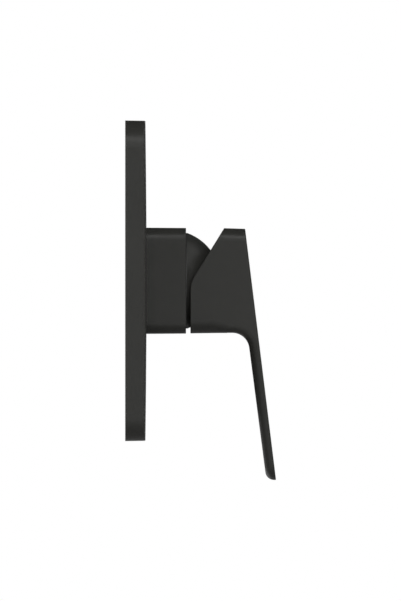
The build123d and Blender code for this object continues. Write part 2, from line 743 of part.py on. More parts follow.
for piece in (
    face_plate,
    plate_gasket,
    plate_seal,
    plate_carrier,
    carrier_screws,
    valve_body,
    body_o_ring,
    sleeve,
    sleeve_washer,
    dome_cap,
    cartridge_housing,
    cartridge_base,
    base_seals,
    fixed_disc,
    moving_disc,
    disc_carrier,
    rotor,
    lever_pin,
    limit_ring,
    retaining_nut,
    stem,
    lever,
    set_screw,
    screw_plug,
):
    save(piece.__name__, piece())
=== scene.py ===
import math

import bpy
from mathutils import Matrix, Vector


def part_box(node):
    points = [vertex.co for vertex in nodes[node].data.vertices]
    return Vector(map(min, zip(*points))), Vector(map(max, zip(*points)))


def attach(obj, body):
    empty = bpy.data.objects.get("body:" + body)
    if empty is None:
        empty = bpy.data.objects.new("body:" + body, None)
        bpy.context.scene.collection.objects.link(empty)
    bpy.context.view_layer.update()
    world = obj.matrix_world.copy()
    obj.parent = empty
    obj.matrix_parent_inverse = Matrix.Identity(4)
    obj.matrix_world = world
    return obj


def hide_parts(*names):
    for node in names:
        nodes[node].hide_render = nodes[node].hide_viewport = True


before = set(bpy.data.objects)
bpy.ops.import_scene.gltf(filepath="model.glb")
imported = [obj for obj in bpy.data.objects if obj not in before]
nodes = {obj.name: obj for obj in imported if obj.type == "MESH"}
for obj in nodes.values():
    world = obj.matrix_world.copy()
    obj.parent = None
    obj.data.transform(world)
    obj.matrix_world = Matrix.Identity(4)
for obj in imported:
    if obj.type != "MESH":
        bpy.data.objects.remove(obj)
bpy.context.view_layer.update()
scene = bpy.context.scene

# Lengths are in metres and colours are linear

# Picture: side view at right angles, so one pixel is the same length everywhere
IMAGE_WIDTH, IMAGE_HEIGHT = 401, 601
METRES_PER_PIXEL = 0.5083e-3
WALL_COLUMN = 125.18
AXIS_ROW = 280.8
CAMERA_DISTANCE = 1.2

# Lamps: name, azimuth, elevation, half width, half height, radiance, seen in reflections
# Angles are in degrees; azimuth 0 is the camera's side and 90 the user's side
LAMPS = (
    ("front_box", 5, -8, 12, 24, 1.26, True),
    ("user_side_box", 30, -8, 10, 24, 0.34, True),
    ("wall_side_box", -32, -8, 17, 24, 0.78, True),
    ("upper_box", 4, 22, 8, 8, 2.6, True),
    ("key_box", 8, 40, 12, 8, 5.3, True),
    ("ball_box", 42, 41, 10, 9, 2.85, True),
    ("top_box", 84, 57, 22, 13, 1.16, True),
    ("low_box", -25, -44, 42, 11, 0.36, True),
    ("user_box", 85, 0, 20, 24, 0.3, True),
    ("far_fill", 180, 10, 26, 26, 2.5, False),
    ("wall_box", -90, 27, 28, 12, 1.5, True),
    ("wall_low_box", -104, -8, 14, 24, 0.33, True),
    ("rear_low_box", -138, -28, 22, 20, 0.8, True),
    ("user_fill", 90, 5, 25, 25, 1.5, False),
)
LAMP_AIM = Vector((0, -0.04, -0.01))
LAMP_DISTANCE = 1.5

# Surroundings: the backdrop's edge is given as the cosine of its angle from straight behind
FILL_LEVEL = 0.03
BACKDROP_EDGE, BACKDROP_FULL = 0.996, 0.998
FLOOR_LEVEL = -3.0
FLOOR_REACH = 16.0
FLOOR_GREY = 0.86
FLOOR_ROUGHNESS = 0.9
FLOOR_GLOW = 0.9
# Share of that glow which reflections see, low enough to keep the undersides dark
FLOOR_MIRRORED = 0.3

# Colours
COAT_DARK = (0.0345, 0.0345, 0.0314)
COAT_LIGHT = (0.0380, 0.0380, 0.0346)
COAT_WORN = (0.060, 0.059, 0.056)
COAT_WEAR = 0.08
BRASS_DARK = (0.62, 0.455, 0.20)
BRASS_LIGHT = (0.70, 0.54, 0.27)
BRASS_TARNISH = (0.47, 0.33, 0.15)
STEEL_DARK = (0.50, 0.50, 0.49)
STEEL_LIGHT = (0.62, 0.62, 0.61)
CERAMIC_DARK = (0.84, 0.82, 0.775)
CERAMIC_LIGHT = (0.88, 0.865, 0.83)
CARRIER_BLACK = (0.030, 0.030, 0.030)
CARRIER_WORN = (0.055, 0.055, 0.054)
ACETAL_PALE = (0.74, 0.73, 0.69)
ACETAL_WORN = (0.80, 0.79, 0.76)
STOP_RED = (0.50, 0.05, 0.04)
STOP_WORN = (0.62, 0.12, 0.10)
RUBBER_BLACK = (0.024, 0.024, 0.024)
RUBBER_BLOOM = (0.045, 0.045, 0.044)
FOAM_GREY = (0.055, 0.055, 0.057)
FOAM_BLOOM = (0.09, 0.09, 0.092)
PLASTIC_SHADE = 0.86

# Soft pieces
CORNER_STEPS = 40
SECTION_STEPS = 32
GASKET_WIDTH = 0.0040
GASKET_CORNER = 0.0121
GASKET_STEPS = 900
GASKET_ROUNDNESS = 0.36
FOAM_ROOM = 0.00008
FOAM_SWELLS_PER_METRE = 420.0
BUTT_JOINT_DEPTH = 0.0006
BUTT_JOINT_REACH = 0.0005
SEAL_WIDTH = 0.0023
SEAL_CORNER = 0.0087
SEAL_STEPS = 320
SEAL_ROUNDNESS = 0.55
O_RING_STEPS = 240
MOULD_LINE = 0.00006
MOULD_LINE_SHARE = 0.2
PORTS = 3
PORT_CIRCLE = 0.0087725
PORT_TURN = -math.pi / 6
PORT_CIRCLE_RISE = 0.75
PORT_SEAL_WIDTH = 0.0016
PORT_SEAL_STEPS = 96
PORT_SEAL_ROUNDNESS = 0.7

# Threads: depth as a share of the pitch, points round a turn, rows of points along a turn
THREAD_DEPTH = 0.6
THREAD_STEPS = 65
THREAD_ROWS = 4
THREAD_LEAD_IN = 1.25
THREAD_SPARE_ROWS = 7
WELD_REACH = 1e-6
SLIVER_REACH = 3e-6
SHARP_ANGLE = math.radians(25)

# Threaded pieces: shares of the screw's head are of its height
SCREWS = 4
SCREW_HEAD_RADIUS = 0.0034
SCREW_HEAD_HEIGHT = 0.0019
SCREW_HEAD_STEPS = 20
SCREW_HEAD_ROUNDING = 0.4 * SCREW_HEAD_HEIGHT
SCREW_RECESS_DEPTH = 0.6 * SCREW_HEAD_HEIGHT
SCREW_RECESS_WIDTH = 0.0008
SCREW_SHANK_OVERLAP = 0.15 * SCREW_HEAD_HEIGHT
SCREW_SHANK_RADIUS = 0.00195
SCREW_PITCH = 0.0007
SET_SCREW_RADIUS = 0.003
SET_SCREW_LENGTH = 0.008
SET_SCREW_PITCH = 0.001
SET_SCREW_TILT = math.radians(12.5)
HEX_KEY_WIDTH = 0.003
HEX_KEY_DEPTH = 0.003
NUT_PITCH = 0.001
NUT_BORE_RADIUS = 0.014795
NUT_RIM_BORE_RADIUS = 0.017495
NUT_BORE_STEPS = 96
NUT_LIP_THICK = 0.003
NUT_SLOT_WIDTH = 0.003
NUT_SLOT_DEPTH = 0.002
NUT_SLOT_LENGTH = 2.2
NUT_SLOT_ANGLES = (0, 60, 120)

QUARTER_TURN = math.pi / 2
FLOAT = "NodeSocketFloat"
COUNT = "NodeSocketInt"
VECTOR = "NodeSocketVector"
GEOMETRY = "NodeSocketGeometry"
MATERIAL = "NodeSocketMaterial"


# Node building

def node(tree, kind, inputs=None, **settings):
    """A new node: settings are its properties, inputs are values or sockets to link."""
    made = tree.nodes.new(kind)
    for name, value in settings.items():
        setattr(made, name, value)
    for name, value in (inputs or {}).items():
        if isinstance(value, bpy.types.NodeSocket):
            tree.links.new(value, made.inputs[name])
        else:
            made.inputs[name].default_value = value
    return made


def output(tree, kind, inputs=None, **settings):
    """The first output of a new node."""
    return node(tree, kind, inputs, **settings).outputs[0]


def math_node(tree, operation, a, b=0.0):
    return output(tree, "ShaderNodeMath", {0: a, 1: b}, operation=operation)


def add(tree, a, b):
    return math_node(tree, "ADD", a, b)


def subtract(tree, a, b):
    return math_node(tree, "SUBTRACT", a, b)


def multiply(tree, a, b):
    return math_node(tree, "MULTIPLY", a, b)


def at_least(tree, a, b):
    return math_node(tree, "MAXIMUM", a, b)


def at_most(tree, a, b):
    return math_node(tree, "MINIMUM", a, b)


def split(tree, vector):
    return node(tree, "ShaderNodeSeparateXYZ", {0: vector}).outputs


def join(tree, x=0.0, y=0.0, z=0.0):
    return output(tree, "ShaderNodeCombineXYZ", {0: x, 1: y, 2: z})


def new_group(name, kind, inputs, outputs):
    """An empty node group with named sockets, given as (label, socket type, value)."""
    tree = bpy.data.node_groups.new(name, kind)
    for label, socket_type, value in inputs:
        socket = tree.interface.new_socket(label, in_out="INPUT", socket_type=socket_type)
        if value is not None:
            socket.default_value = value
    for label, socket_type in outputs:
        tree.interface.new_socket(label, in_out="OUTPUT", socket_type=socket_type)
    given = tree.nodes.new("NodeGroupInput").outputs
    result = tree.nodes.new("NodeGroupOutput").inputs
    return tree, given, result


# Surface effects

def surface_place(tree):
    return node(tree, "ShaderNodeTexCoord").outputs["Object"]


def make_grain_group():
    """Fine skin of a coating or a moulding: a coarse and a fine swell added up."""
    tree, given, result = new_group(
        "surface_grain", "ShaderNodeTree",
        [("Grains per metre", FLOAT, 2000.0), ("Fine share", FLOAT, 0.4)],
        [("Height", FLOAT)],
    )
    fine_to_coarse = 3.1
    where = surface_place(tree)
    coarse = output(tree, "ShaderNodeTexNoise", {
        "Vector": where, "Scale": given["Grains per metre"], "Detail": 2.0})
    finer = multiply(tree, given["Grains per metre"], fine_to_coarse)
    fine = output(tree, "ShaderNodeTexNoise", {"Vector": where, "Scale": finer, "Detail": 1.0})
    share = multiply(tree, fine, given["Fine share"])
    tree.links.new(add(tree, coarse, share), result["Height"])
    return tree


def make_uneven_group():
    """Slow change over the surface between two values."""
    tree, given, result = new_group(
        "uneven_finish", "ShaderNodeTree",
        [("Patches per metre", FLOAT, 60.0), ("Low", FLOAT, 0.35), ("High", FLOAT, 0.45)],
        [("Value", FLOAT)],
    )
    cloud = output(tree, "ShaderNodeTexNoise", {
        "Vector": surface_place(tree), "Scale": given["Patches per metre"], "Detail": 5.0,
        "Roughness": 0.6})
    spread = output(tree, "ShaderNodeMapRange", {
        "Value": cloud, "From Min": 0.32, "From Max": 0.68,
        "To Min": given["Low"], "To Max": given["High"]})
    tree.links.new(spread, result["Value"])
    return tree


def make_edge_group():
    """Mask of the outer edges, broken up where wear skips."""
    tree, given, result = new_group(
        "edge_wear", "ShaderNodeTree",
        [("Edge width", FLOAT, 0.0005), ("Breaks per metre", FLOAT, 400.0)],
        [("Mask", FLOAT)],
    )
    softened = output(tree, "ShaderNodeBevel", {"Radius": given["Edge width"]}, samples=6)
    true_face = node(tree, "ShaderNodeNewGeometry").outputs["Normal"]
    turn = node(tree, "ShaderNodeVectorMath", {0: softened, 1: true_face},
                operation="DOT_PRODUCT").outputs["Value"]
    edge = output(tree, "ShaderNodeMapRange", {
        "Value": turn, "From Min": 0.995, "From Max": 0.86})
    skips = output(tree, "ShaderNodeTexNoise", {
        "Vector": surface_place(tree), "Scale": given["Breaks per metre"], "Detail": 3.0})
    kept = output(tree, "ShaderNodeMapRange", {
        "Value": skips, "From Min": 0.38, "From Max": 0.62})
    tree.links.new(multiply(tree, edge, kept), result["Mask"])
    return tree


def make_ring_group():
    """Tool marks of turning about the mixer's axis, which is Y."""
    tree, given, result = new_group(
        "turning_marks", "ShaderNodeTree",
        [("Rings per metre", FLOAT, 4000.0)],
        [("Height", FLOAT), ("Shade", FLOAT)],
    )
    bands_to_rings = 0.12
    across = output(tree, "ShaderNodeVectorMath", {0: surface_place(tree), 1: (1, 0, 1)},
                    operation="MULTIPLY")
    radius = node(tree, "ShaderNodeVectorMath", {0: across}, operation="LENGTH").outputs["Value"]
    along = add(tree, radius, split(tree, surface_place(tree))["Y"])
    rings = output(tree, "ShaderNodeTexNoise", {
        "W": along, "Scale": given["Rings per metre"], "Detail": 3.0}, noise_dimensions="1D")
    tree.links.new(rings, result["Height"])
    slow = multiply(tree, given["Rings per metre"], bands_to_rings)
    bands = output(tree, "ShaderNodeTexNoise", {"W": along, "Scale": slow, "Detail": 2.0},
                   noise_dimensions="1D")
    tree.links.new(bands, result["Shade"])
    return tree


SURFACE_GRAIN = make_grain_group()
UNEVEN_FINISH = make_uneven_group()
EDGE_WEAR = make_edge_group()
TURNING_MARKS = make_ring_group()


def use_group(tree, group, **values):
    inputs = {label.replace("_", " "): value for label, value in values.items()}
    return node(tree, "ShaderNodeGroup", inputs, node_tree=group).outputs


class Finish:
    """A material with one Principled shader and the effects that feed it."""

    def __init__(self, name, **constants):
        self.material = bpy.data.materials.new(name)
        self.material.use_nodes = True
        self.tree = self.material.node_tree
        self.shader = self.tree.nodes["Principled BSDF"]
        for label, value in constants.items():
            self.shader.inputs[label.replace("_", " ")].default_value = value

    def feed(self, label, socket):
        self.tree.links.new(socket, self.shader.inputs[label])

    def blend(self, mask, plain, other):
        mix = node(self.tree, "ShaderNodeMix", {0: mask}, data_type="RGBA")
        for slot, value in ((6, plain), (7, other)):
            if isinstance(value, bpy.types.NodeSocket):
                self.tree.links.new(value, mix.inputs[slot])
            else:
                mix.inputs[slot].default_value = (*value, 1)
        return mix.outputs[2]

    def uneven(self, patches, low, high):
        return use_group(self.tree, UNEVEN_FINISH, Patches_per_metre=patches, Low=low,
                         High=high)["Value"]

    def edges(self, width, breaks):
        return use_group(self.tree, EDGE_WEAR, Edge_width=width,
                         Breaks_per_metre=breaks)["Mask"]

    def grain(self, grains, fine_share=0.4):
        return use_group(self.tree, SURFACE_GRAIN, Grains_per_metre=grains,
                         Fine_share=fine_share)["Height"]

    def rings(self, per_metre):
        return use_group(self.tree, TURNING_MARKS, Rings_per_metre=per_metre)

    def bump(self, height, depth, strength):
        relief = output(self.tree, "ShaderNodeBump", {
            "Height": height, "Distance": depth, "Strength": strength})
        self.feed("Normal", relief)


# Finishes

def black_coat(name, rough_low, rough_high, patches):
    coat = Finish(name, Specular_IOR_Level=0.2)
    edge = coat.edges(width=0.0005, breaks=500.0)
    cloud = coat.uneven(patches=35.0, low=0.0, high=1.0)
    body = coat.blend(cloud, COAT_DARK, COAT_LIGHT)
    worn = multiply(coat.tree, edge, COAT_WEAR)
    coat.feed("Base Color", coat.blend(worn, body, COAT_WORN))
    coat.feed("Roughness", coat.uneven(patches, rough_low, rough_high))
    coat.bump(coat.grain(grains=2400.0), depth=0.000025, strength=0.5)
    return coat.material


def machined_brass():
    brass = Finish("machined_brass", Metallic=1.0)
    marks = brass.rings(per_metre=5200.0)
    tarnish = brass.uneven(patches=28.0, low=0.0, high=0.3)
    bright = brass.blend(marks["Shade"], BRASS_DARK, BRASS_LIGHT)
    brass.feed("Base Color", brass.blend(tarnish, bright, BRASS_TARNISH))
    brass.feed("Roughness", brass.uneven(patches=60.0, low=0.29, high=0.35))
    brass.bump(marks["Height"], depth=0.000008, strength=0.3)
    return brass.material


def stainless_steel():
    steel = Finish("stainless_steel", Metallic=1.0)
    marks = steel.rings(per_metre=9000.0)
    steel.feed("Base Color", steel.blend(marks["Shade"], STEEL_DARK, STEEL_LIGHT))
    steel.feed("Roughness", steel.uneven(patches=700.0, low=0.22, high=0.36))
    steel.bump(marks["Height"], depth=0.00001, strength=0.3)
    return steel.material


def moulded_plastic(name, plain, worn, rough_low, rough_high, grains, depth):
    plastic = Finish(name)
    edge = plastic.edges(width=0.0004, breaks=700.0)
    cloud = plastic.uneven(patches=120.0, low=0.0, high=0.5)
    shade = tuple(channel * PLASTIC_SHADE for channel in plain)
    body = plastic.blend(cloud, plain, shade)
    plastic.feed("Base Color", plastic.blend(edge, body, worn))
    plastic.feed("Roughness", plastic.uneven(300.0, rough_low, rough_high))
    plastic.bump(plastic.grain(grains), depth, strength=0.5)
    return plastic.material


def lapped_ceramic():
    ceramic = Finish("lapped_ceramic", Coat_Roughness=0.08)
    cloud = ceramic.uneven(patches=400.0, low=0.0, high=1.0)
    ceramic.feed("Base Color", ceramic.blend(cloud, CERAMIC_DARK, CERAMIC_LIGHT))
    ceramic.feed("Roughness", ceramic.uneven(patches=500.0, low=0.12, high=0.22))
    ceramic.feed("Coat Weight", ceramic.uneven(patches=250.0, low=0.2, high=0.5))
    ceramic.bump(ceramic.grain(grains=9000.0), depth=0.000004, strength=0.3)
    return ceramic.material


def seal_rubber(name, plain, bloom, rough_low, rough_high, grains, depth):
    rubber = Finish(name, Specular_IOR_Level=0.3)
    dust = rubber.uneven(patches=260.0, low=0.0, high=0.6)
    rubber.feed("Base Color", rubber.blend(dust, plain, bloom))
    rubber.feed("Roughness", rubber.uneven(500.0, rough_low, rough_high))
    rubber.bump(rubber.grain(grains, fine_share=0.7), depth, strength=0.8)
    return rubber.material


def dress():
    """Every piece's finish, by the pieces that wear it."""
    coat = black_coat("matte_black_coat", rough_low=0.32, rough_high=0.38, patches=55.0)
    handled = black_coat("matte_black_coat_handled", rough_low=0.31, rough_high=0.38,
                         patches=38.0)
    brass = machined_brass()
    steel = stainless_steel()
    ceramic = lapped_ceramic()
    carrier = moulded_plastic("black_carrier_plastic", CARRIER_BLACK, CARRIER_WORN,
                              rough_low=0.46, rough_high=0.6, grains=1800.0, depth=0.00004)
    acetal = moulded_plastic("pale_acetal", ACETAL_PALE, ACETAL_WORN,
                             rough_low=0.32, rough_high=0.46, grains=3000.0, depth=0.00001)
    stop = moulded_plastic("red_stop_plastic", STOP_RED, STOP_WORN,
                           rough_low=0.34, rough_high=0.46, grains=3000.0, depth=0.00001)
    rubber = seal_rubber("seal_rubber", RUBBER_BLACK, RUBBER_BLOOM,
                         rough_low=0.55, rough_high=0.75, grains=2600.0, depth=0.00003)
    foam = seal_rubber("gasket_foam", FOAM_GREY, FOAM_BLOOM,
                       rough_low=0.85, rough_high=0.97, grains=1500.0, depth=0.00025)
    wears = {
        coat: ("face_plate", "sleeve", "dome_cap"),
        handled: ("lever",),
        brass: ("valve_body", "retaining_nut", "stem"),
        steel: ("carrier_screws", "lever_pin", "set_screw"),
        ceramic: ("fixed_disc", "moving_disc"),
        carrier: ("plate_carrier", "sleeve_washer", "screw_plug"),
        acetal: ("cartridge_housing", "cartridge_base", "disc_carrier", "rotor"),
        stop: ("limit_ring",),
        rubber: ("plate_seal", "body_o_ring", "base_seals"),
        foam: ("plate_gasket",),
    }
    for material, pieces in wears.items():
        for name in pieces:
            nodes[name].data.materials.clear()
            nodes[name].data.materials.append(material)
    return rubber, foam, steel, brass


# Shape trees: each piece is made along Z and then turned to its place off the wall

def position(tree):
    return output(tree, "GeometryNodeInputPosition")


def off_wall(tree, shape, distance):
    """The shape turned from Z to the user's side and moved this far off the wall."""
    return output(tree, "GeometryNodeTransform", {
        "Geometry": shape, "Translation": join(tree, y=multiply(tree, distance, -1.0)),
        "Rotation": (QUARTER_TURN, 0, 0)})


def hand_over(tree, shape, finish, outlet):
    """The end of every shape tree: one plain mesh with one material."""
    plain = output(tree, "GeometryNodeRealizeInstances", {"Geometry": shape})
    finished = output(tree, "GeometryNodeSetMaterial", {"Geometry": plain, "Material": finish})
    tree.links.new(finished, outlet)


def use_tree(tree, shape_tree, **sizes):
    """A shape tree's result inside another tree, with sizes as values or sockets."""
    inputs = {label.replace("_", " "): value for label, value in sizes.items()}
    return output(tree, "GeometryNodeGroup", inputs, node_tree=shape_tree)


# Soft pieces: strips and rings swept round a path in the wall plane

def swell(tree, along, half, roundness):
    """Side of a unit circle pushed out towards a box: sign(t) |t|^roundness half."""
    size = math_node(tree, "POWER", math_node(tree, "ABSOLUTE", along), roundness)
    signed = multiply(tree, size, math_node(tree, "SIGN", along))
    return multiply(tree, signed, half)


def peak(tree, value, reach):
    """1 where the value is 0, falling to 0 at the given reach."""
    share = math_node(tree, "DIVIDE", math_node(tree, "ABSOLUTE", value), reach)
    return at_least(tree, subtract(tree, 1.0, share), 0.0)


def make_strip_tree():
    """A soft section swept round a rounded square, which is a ring if its corners meet."""
    tree, given, result = new_group(
        "swept_strip", "GeometryNodeTree",
        [("Side", FLOAT, 0.1), ("Corner radius", FLOAT, 0.01), ("Steps", COUNT, 400),
         ("Width", FLOAT, 0.004), ("Depth", FLOAT, 0.003),
         ("Section roundness", FLOAT, 0.5), ("Mould line", FLOAT, 0.0),
         ("Unevenness", FLOAT, 0.0), ("Swells per metre", FLOAT, 300.0),
         ("Butt joint", FLOAT, 0.0), ("Distance from wall", FLOAT, 0.0),
         ("Finish", MATERIAL, None)],
        [("Strip", GEOMETRY)],
    )
    square = output(tree, "GeometryNodeCurvePrimitiveQuadrilateral", {
        "Width": given["Side"], "Height": given["Side"]})
    rounded = output(tree, "GeometryNodeFilletCurve", {
        "Curve": square, "Count": CORNER_STEPS, "Radius": given["Corner radius"],
        "Limit Radius": True}, mode="POLY")
    path = output(tree, "GeometryNodeResampleCurve", {
        "Curve": rounded, "Count": given["Steps"]})
    upright = output(tree, "GeometryNodeSetCurveNormal", {"Curve": path}, mode="Z_UP")

    circle = output(tree, "GeometryNodeCurvePrimitiveCircle", {
        "Resolution": SECTION_STEPS, "Radius": 1.0})
    across, deep, _ = split(tree, position(tree))
    half_width = multiply(tree, given["Width"], 0.5)
    half_depth = multiply(tree, given["Depth"], 0.5)
    line = multiply(tree, peak(tree, deep, MOULD_LINE_SHARE), given["Mould line"])
    section_place = join(
        tree,
        x=swell(tree, across, add(tree, half_width, line), given["Section roundness"]),
        y=swell(tree, deep, half_depth, given["Section roundness"]))
    section = output(tree, "GeometryNodeSetPosition", {
        "Geometry": circle, "Position": section_place})
    swept = output(tree, "GeometryNodeCurveToMesh", {
        "Curve": upright, "Profile Curve": section})

    place = position(tree)
    cloud = output(tree, "ShaderNodeTexNoise", {
        "Vector": place, "Scale": given["Swells per metre"], "Detail": 2.0})
    swells = multiply(tree, subtract(tree, cloud, 0.5), given["Unevenness"])
    sideways, upwards, _ = split(tree, place)
    below = math_node(tree, "LESS_THAN", upwards, 0.0)
    nick = multiply(tree, peak(tree, sideways, BUTT_JOINT_REACH), below)
    sunk = multiply(tree, nick, given["Butt joint"])
    push = output(tree, "ShaderNodeVectorMath", {
        0: output(tree, "GeometryNodeInputNormal"), "Scale": subtract(tree, swells, sunk)},
        operation="SCALE")
    soft = output(tree, "GeometryNodeSetPosition", {"Geometry": swept, "Offset": push})

    hung = off_wall(tree, soft, add(tree, given["Distance from wall"], half_depth))
    smooth = output(tree, "GeometryNodeSetShadeSmooth", {"Geometry": hung})
    hand_over(tree, smooth, given["Finish"], result["Strip"])
    return tree


def make_trio_tree(strip):
    """The same ring at each of the three ports."""
    tree, given, result = new_group(
        "port_ring_trio", "GeometryNodeTree",
        [("Port circle", FLOAT, 0.009), ("Ring radius", FLOAT, 0.004),
         ("Width", FLOAT, 0.0016), ("Depth", FLOAT, 0.0014),
         ("Distance from wall", FLOAT, 0.0), ("Finish", MATERIAL, None)],
        [("Rings", GEOMETRY)],
    )
    ring = use_tree(tree, strip, Side=multiply(tree, given["Ring radius"], 2.0),
                    Corner_radius=given["Ring radius"], Width=given["Width"],
                    Depth=given["Depth"], Distance_from_wall=given["Distance from wall"],
                    Finish=given["Finish"], Steps=PORT_SEAL_STEPS,
                    Section_roundness=PORT_SEAL_ROUNDNESS)
    triangle = output(tree, "GeometryNodeMeshCircle", {
        "Vertices": PORTS, "Radius": given["Port circle"]})
    turned = output(tree, "GeometryNodeTransform", {
        "Geometry": triangle, "Rotation": (QUARTER_TURN, PORT_TURN, 0)})
    placed = output(tree, "GeometryNodeInstanceOnPoints", {
        "Points": turned, "Instance": ring})
    hand_over(tree, placed, given["Finish"], result["Rings"])
    return tree


# Threaded pieces: screws and nut

def make_thread_tree():
    """A closed rod along Z from 0, with a thread whose rows follow the helix."""
    tree, given, result = new_group(
        "threaded_rod", "GeometryNodeTree",
        [("Radius", FLOAT, 0.003), ("Length", FLOAT, 0.008), ("Pitch", FLOAT, 0.001)],
        [("Rod", GEOMETRY)],
    )
    turns = math_node(tree, "DIVIDE", given["Length"], given["Pitch"])
    needed = math_node(tree, "CEIL", multiply(tree, turns, float(THREAD_ROWS)))
    rows = add(tree, needed, float(THREAD_SPARE_ROWS))
    last = subtract(tree, rows, 1.0)
    grid = output(tree, "GeometryNodeMeshGrid", {
        "Size X": 1.0, "Size Y": 1.0, "Vertices X": rows, "Vertices Y": THREAD_STEPS})
    on_grid = split(tree, position(tree))
    row = math_node(tree, "ROUND", multiply(tree, add(tree, on_grid[0], 0.5), last))
    turn = add(tree, on_grid[1], 0.5)

    row_turns = math_node(tree, "DIVIDE", row, float(THREAD_ROWS))
    risen = add(tree, subtract(tree, row_turns, THREAD_LEAD_IN), turn)
    above_foot = at_least(tree, multiply(tree, risen, given["Pitch"]), 0.0)
    height = at_most(tree, above_foot, given["Length"])
    to_end = at_most(tree, height, subtract(tree, given["Length"], height))

    depth = multiply(tree, given["Pitch"], THREAD_DEPTH)
    root = subtract(tree, given["Radius"], depth)
    row_of_turn = math_node(tree, "FLOORED_MODULO", row, float(THREAD_ROWS))
    crest = math_node(tree, "GREATER_THAN", row_of_turn, THREAD_ROWS / 2 - 0.5)
    on_thread = add(tree, root, multiply(tree, crest, depth))
    outer = at_most(tree, on_thread, add(tree, root, to_end))
    after_first = math_node(tree, "GREATER_THAN", row, 0.5)
    before_last = math_node(tree, "LESS_THAN", row, subtract(tree, last, 0.5))
    radius = multiply(tree, outer, multiply(tree, after_first, before_last))
    angle = multiply(tree, turn, 2 * math.pi)
    spot = join(tree, x=multiply(tree, radius, math_node(tree, "COSINE", angle)),
                y=multiply(tree, radius, math_node(tree, "SINE", angle)), z=height)
    wound = output(tree, "GeometryNodeSetPosition", {"Geometry": grid, "Position": spot})

    closed = output(tree, "GeometryNodeMergeByDistance", {
        "Geometry": wound, "Distance": WELD_REACH})
    outward = output(tree, "GeometryNodeFlipFaces", {"Mesh": closed})
    flat_faces = output(tree, "GeometryNodeTriangulate", {"Mesh": outward})
    tree.links.new(flat_faces, result["Rod"])
    return tree


def stand(tree, shape, foot, head, turn=0.0):
    """The shape with its middle halfway between two heights, turned about Z."""
    middle = multiply(tree, add(tree, head, foot), 0.5)
    return output(tree, "GeometryNodeTransform", {
        "Geometry": shape, "Translation": join(tree, z=middle), "Rotation": (0, 0, turn)})


def cylinder(tree, radius, foot, head, vertices):
    """A plain cylinder along Z between two heights, which are values or sockets."""
    plain = output(tree, "GeometryNodeMeshCylinder", {
        "Vertices": vertices, "Radius": radius, "Depth": subtract(tree, head, foot)})
    return stand(tree, plain, foot, head)


def slot_block(tree, long, wide, foot, head, turn):
    """A bar across the axis between two heights, turned about Z."""
    size = join(tree, x=long, y=wide, z=subtract(tree, head, foot))
    block = output(tree, "GeometryNodeMeshCube", {"Size": size})
    return stand(tree, block, foot, head, turn)


def cut(tree, solid, *cutters):
    for cutter in cutters:
        solid = output(tree, "GeometryNodeMeshBoolean", {"Mesh 1": solid, "Mesh 2": cutter},
                       operation="DIFFERENCE", solver="EXACT")
    return solid


def fuse(tree, *solids):
    made = node(tree, "GeometryNodeMeshBoolean", operation="UNION", solver="EXACT")
    for solid in solids:
        tree.links.new(solid, made.inputs["Mesh 2"])
    return made.outputs[0]


def finish_piece(tree, solid, given, result):
    """Slivers welded, sharp edges kept, round ones smoothed, one material."""
    welded = output(tree, "GeometryNodeMergeByDistance", {
        "Geometry": solid, "Distance": SLIVER_REACH})
    turn = node(tree, "GeometryNodeInputMeshEdgeAngle").outputs["Unsigned Angle"]
    sharp = output(tree, "FunctionNodeCompare", {"A": turn, "B": SHARP_ANGLE},
                   operation="GREATER_THAN")
    smooth = output(tree, "GeometryNodeSetShadeSmooth", {"Geometry": welded})
    creased = output(tree, "GeometryNodeSetShadeSmooth", {
        "Geometry": smooth, "Selection": sharp, "Shade Smooth": False}, domain="EDGE")
    hand_over(tree, creased, given["Finish"], result["Piece"])


def pan_head(tree, seat):
    """A screw head from its seat upwards, with a rounded upper rim."""
    disc = output(tree, "GeometryNodeMeshCylinder", {
        "Vertices": THREAD_STEPS - 1, "Side Segments": SCREW_HEAD_STEPS,
        "Radius": SCREW_HEAD_RADIUS, "Depth": SCREW_HEAD_HEIGHT})
    x, y, z = split(tree, position(tree))
    rim = SCREW_HEAD_ROUNDING
    into_rim = at_least(tree, subtract(tree, z, SCREW_HEAD_HEIGHT / 2 - rim), 0.0)
    left = subtract(tree, rim * rim, multiply(tree, into_rim, into_rim))
    drawn = subtract(tree, rim, math_node(tree, "SQRT", at_least(tree, left, 0.0)))
    share = subtract(tree, 1.0, math_node(tree, "DIVIDE", drawn, SCREW_HEAD_RADIUS))
    domed = output(tree, "GeometryNodeSetPosition", {
        "Geometry": disc,
        "Position": join(tree, multiply(tree, x, share), multiply(tree, y, share), z)})
    lift = join(tree, z=add(tree, seat, SCREW_HEAD_HEIGHT / 2))
    return output(tree, "GeometryNodeTransform", {"Geometry": domed, "Translation": lift})


